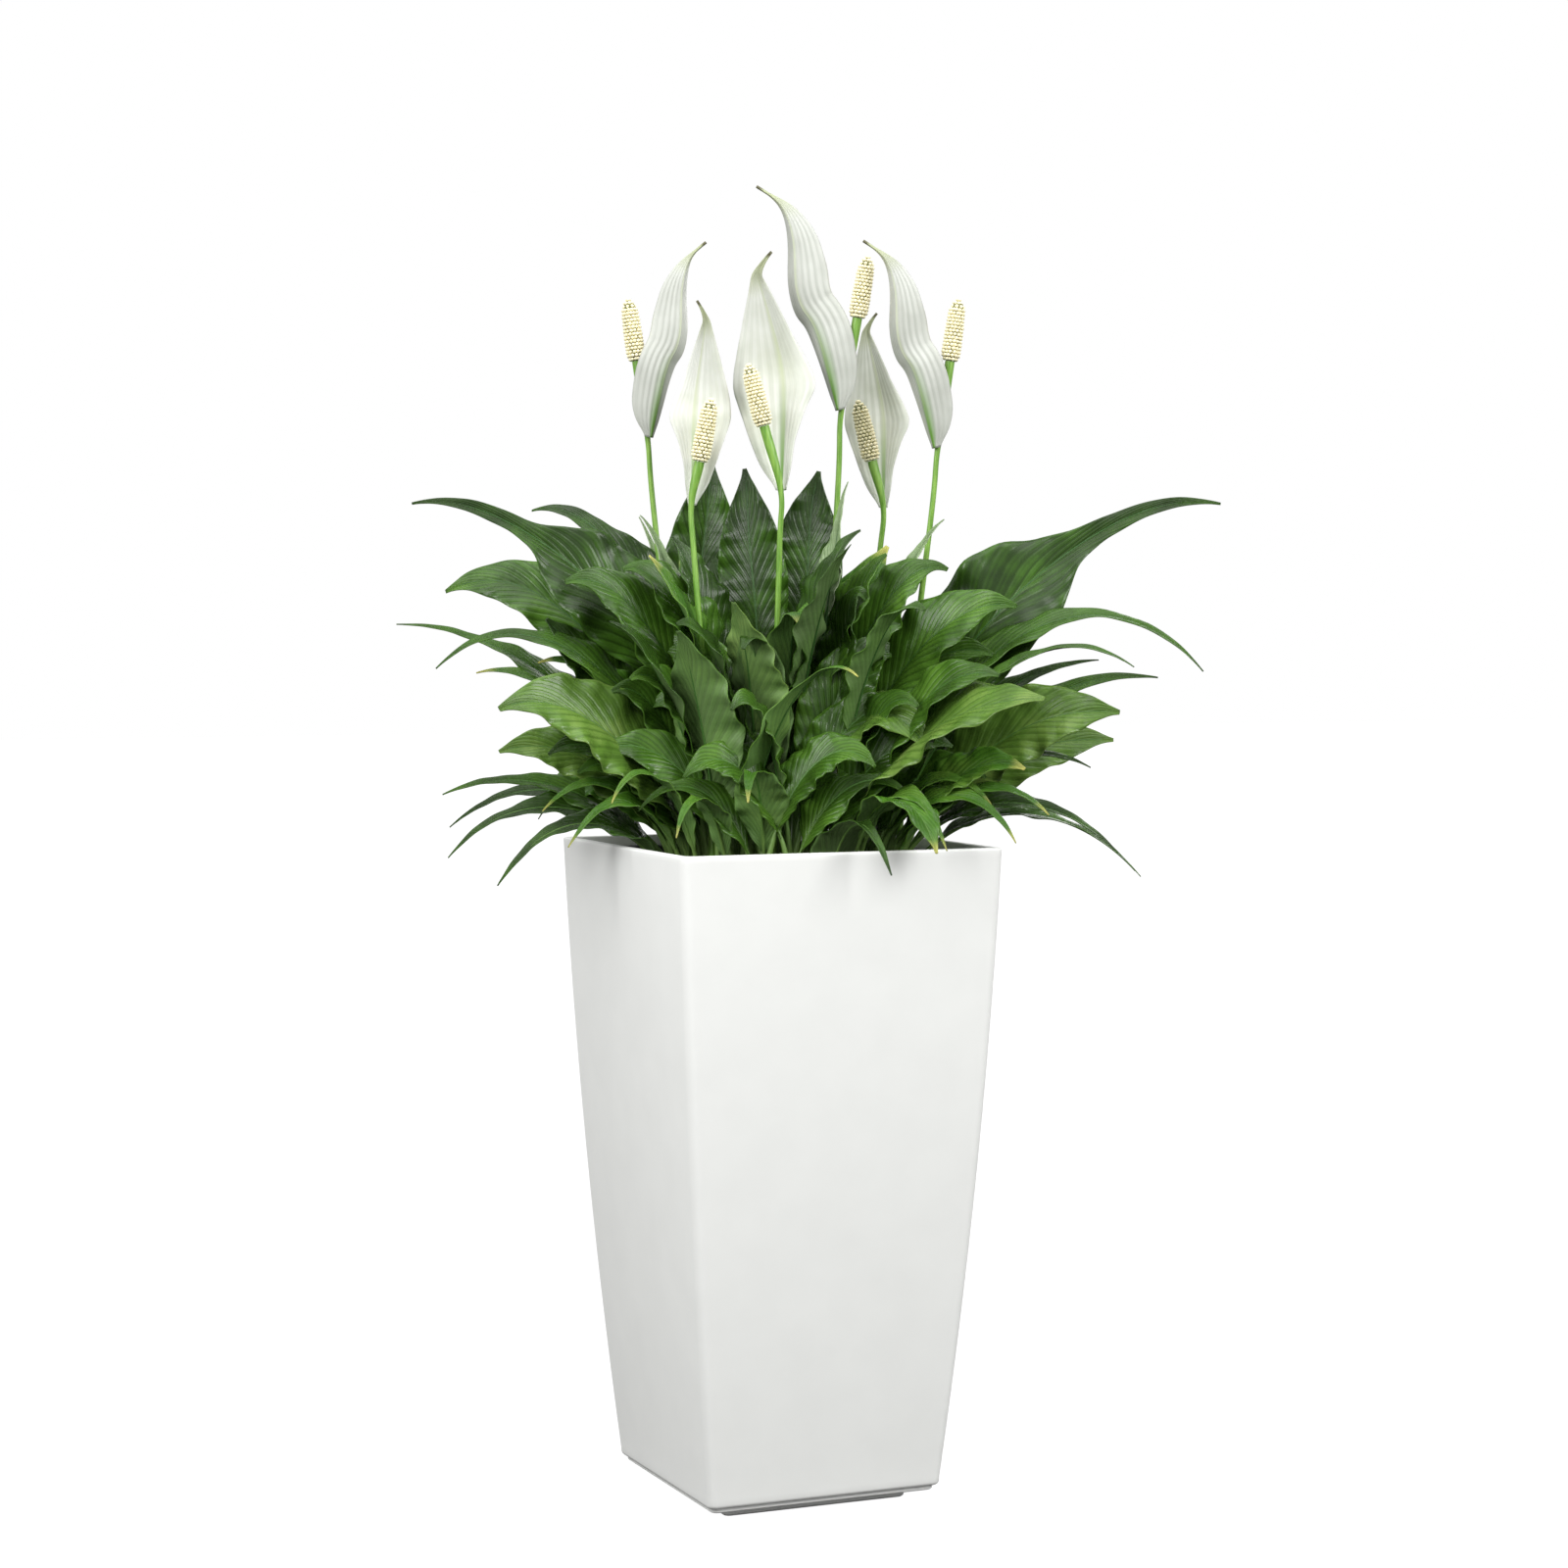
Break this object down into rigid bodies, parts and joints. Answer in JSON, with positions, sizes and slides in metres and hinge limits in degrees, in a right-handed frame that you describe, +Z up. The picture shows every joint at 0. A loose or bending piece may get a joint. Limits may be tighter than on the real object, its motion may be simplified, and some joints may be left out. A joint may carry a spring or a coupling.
{
  "type": "potted peace lily",
  "caption": "Tall square tapered white planter with a liner and soil, holding a peace lily: arching pointed green leaves and white hooded flowers on upright stalks.",
  "frame": {"origin": "middle of the planter's foot, on the floor", "axes": "+Z up; -Y towards the planter's front wall; the plant's widest spread is turned 23 degrees clockwise from X, seen from above"},
  "size_m": [0.6762, 0.5474, 1.154],
  "materials": {
    "shell_plastic": "satin, fine grained",
    "liner_plastic": "dull",
    "granules": "rough",
    "soil": "rough and crumbly",
    "leaf": "glossy",
    "stem": "smooth",
    "spathe": "satin",
    "spadix": "knobbly"
  },
  "bodies": {
    "root": {"planter_shell": "shell_plastic", "planter_liner": "liner_plastic", "drainage_layer": "granules", "potting_soil": "soil", "upright_leaf_1": "leaf", "upright_leaf_2": "leaf", "upright_leaf_3": "leaf", "upright_leaf_4": "leaf", "upright_leaf_5": "leaf", "upright_leaf_6": "leaf", "upright_leaf_7": "leaf", "upright_leaf_8": "leaf", "upright_leaf_9": "leaf", "left_leaf_1": "leaf", "left_leaf_2": "leaf", "left_leaf_3": "leaf", "left_leaf_4": "leaf", "left_leaf_5": "leaf", "left_leaf_6": "leaf", "left_leaf_7": "leaf", "left_leaf_8": "leaf", "left_leaf_9": "leaf", "left_leaf_10": "leaf", "right_leaf_1": "leaf", "right_leaf_2": "leaf", "right_leaf_3": "leaf", "right_leaf_4": "leaf", "right_leaf_5": "leaf", "right_leaf_6": "leaf", "right_leaf_7": "leaf", "right_leaf_8": "leaf", "right_leaf_9": "leaf", "front_leaf_1": "leaf", "front_leaf_2": "leaf", "front_leaf_3": "leaf", "front_leaf_4": "leaf", "front_leaf_5": "leaf", "back_leaf_1": "leaf", "back_leaf_2": "leaf", "back_leaf_3": "leaf", "back_leaf_4": "leaf", "back_leaf_5": "leaf", "flower_1_scape": "stem", "flower_1_spathe": "spathe", "flower_1_spadix": "spadix", "flower_2_scape": "stem", "flower_2_spathe": "spathe", "flower_2_spadix": "spadix", "flower_3_scape": "stem", "flower_3_spathe": "spathe", "flower_3_spadix": "spadix", "flower_4_scape": "stem", "flower_4_spathe": "spathe", "flower_4_spadix": "spadix", "flower_5_scape": "stem", "flower_5_spathe": "spathe", "flower_5_spadix": "spadix", "flower_6_scape": "stem", "flower_6_spathe": "spathe", "flower_6_spadix": "spadix"}
  },
  "joints": []
}
